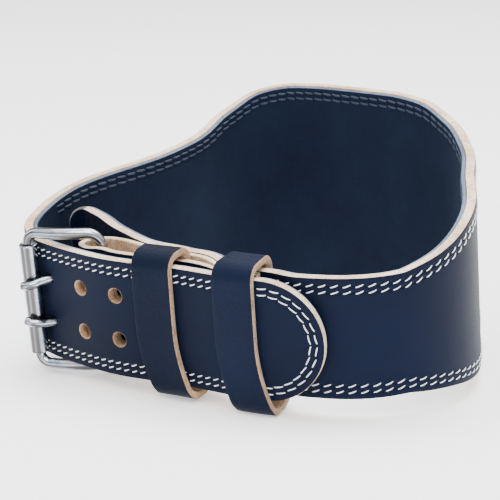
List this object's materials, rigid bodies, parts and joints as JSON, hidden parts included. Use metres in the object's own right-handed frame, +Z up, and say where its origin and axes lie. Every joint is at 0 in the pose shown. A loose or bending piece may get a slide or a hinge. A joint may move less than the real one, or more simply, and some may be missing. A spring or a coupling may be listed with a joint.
{
  "type": "weightlifting belt",
  "caption": "Thick leather lifting belt with a high back, suede lining, roller buckle, twin prongs and leather keepers, fastened in a loop and standing on its edge.",
  "frame": {"origin": "middle of the bounding box's footprint, on the surface that the belt stands on", "axes": "+Z up; the buckle, billet and keepers are at the front, towards -Y, with the buckle at -X and the billet's tip at +X; the high back of the belt is at +Y; the belt leans back so that it rests on the back's lower edge and on the lower ends of the keeper and the buckle frame"},
  "size_m": [0.2314, 0.2208, 0.1342],
  "materials": {
    "navy_leather": "smooth satin navy grain side, natural tan cut edges",
    "navy_suede": "napped matte suede",
    "strap_leather": "satin navy grain side, tan flesh side",
    "nickel": "polished nickel plate"
  },
  "bodies": {
    "root": {"belt_leather": "navy_leather", "belt_lining": "navy_suede", "chape": "strap_leather", "keeper_buckle_side": "strap_leather", "keeper_tip_side": "strap_leather", "buckle_frame": "nickel", "buckle_roller": "nickel", "prong_upper": "nickel", "prong_lower": "nickel"}
  },
  "joints": []
}
